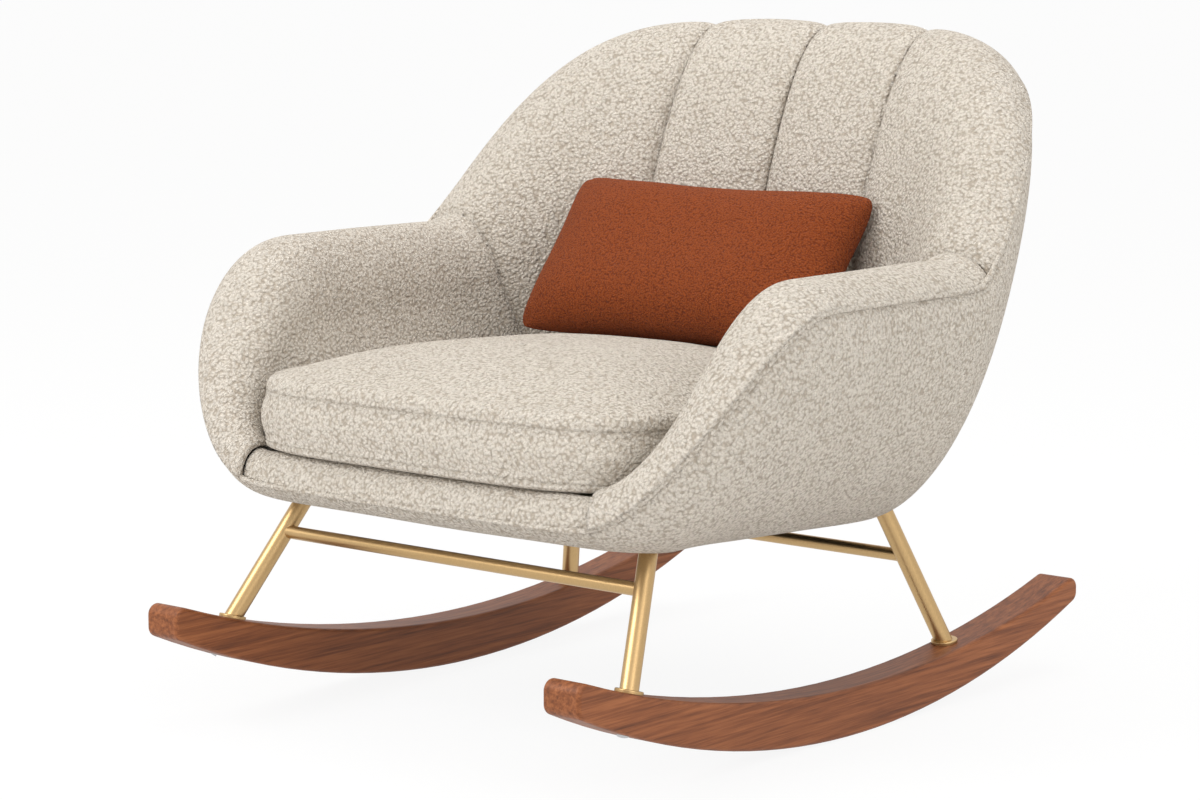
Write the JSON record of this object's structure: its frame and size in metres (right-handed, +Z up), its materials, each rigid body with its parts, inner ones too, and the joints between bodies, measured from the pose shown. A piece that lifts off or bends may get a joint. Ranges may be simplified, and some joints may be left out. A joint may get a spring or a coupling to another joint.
{
  "type": "upholstered rocking chair",
  "caption": "Upholstered tub rocking chair: low rounded arms rising into a channelled back, loose seat cushion and lumbar pillow, brass tube legs on curved walnut rockers.",
  "frame": {"origin": "on the floor under the middle of the overall box", "axes": "+Z up, the chair faces -Y, +X to the right as seen by someone in front of it"},
  "size_m": [0.9186, 0.994, 0.8213],
  "materials": {
    "boucle": "cream boucle, short curly loops, matt",
    "rust_chenille": "rust chenille, soft sheen",
    "walnut": "oiled walnut, satin",
    "brass_tube": "satin brushed brass",
    "steel": "zinc plated",
    "frame_timber": "sawn timber, unfinished",
    "webbing": "woven elastic strap",
    "foam": "open-cell foam and fibre",
    "lining": "black non-woven lining",
    "moulded_shell": "moulded plywood, unfinished"
  },
  "bodies": {
    "chair": {"outer_cover_left": "boucle", "outer_cover_right": "boucle", "front_cover": "boucle", "front_rail_pad": "boucle", "arm_pad_left": "boucle", "arm_pad_right": "boucle", "back_channel_inner_left": "boucle", "back_channel_inner_right": "boucle", "back_channel_outer_left": "boucle", "back_channel_outer_right": "boucle", "rim_welt": "boucle", "rocker_left": "walnut", "rocker_right": "walnut", "front_leg_left": "brass_tube", "front_leg_right": "brass_tube", "rear_leg_left": "brass_tube", "rear_leg_right": "brass_tube", "front_stretcher": "brass_tube", "rear_stretcher": "brass_tube", "foot_collars": "brass_tube", "foot_plugs": "steel", "rocker_bolts": "steel", "leg_plates": "steel", "plate_screws": "steel", "seat_rail_left": "frame_timber", "seat_rail_right": "frame_timber", "seat_rail_front": "frame_timber", "seat_rail_rear": "frame_timber", "corner_blocks": "frame_timber", "webbing_long": "webbing", "webbing_cross": "webbing", "deck_pad": "foam", "dust_cover": "lining", "tub_shell": "moulded_shell"},
    "seat_cushion": {"cushion_cover": "boucle", "cushion_core": "foam"},
    "lumbar_pillow": {"pillow_cover": "rust_chenille", "pillow_filling": "foam"}
  },
  "joints": [
    {"name": "cushion_lift", "type": "slide", "parent": "chair", "child": "seat_cushion", "axis": [0, -0.3401, 0.9404], "range_m": [0, 0.4]},
    {"name": "pillow_lift", "type": "slide", "parent": "seat_cushion", "child": "lumbar_pillow", "axis": [0, -0.7001, 0.7141], "range_m": [0, 0.3]}
  ]
}
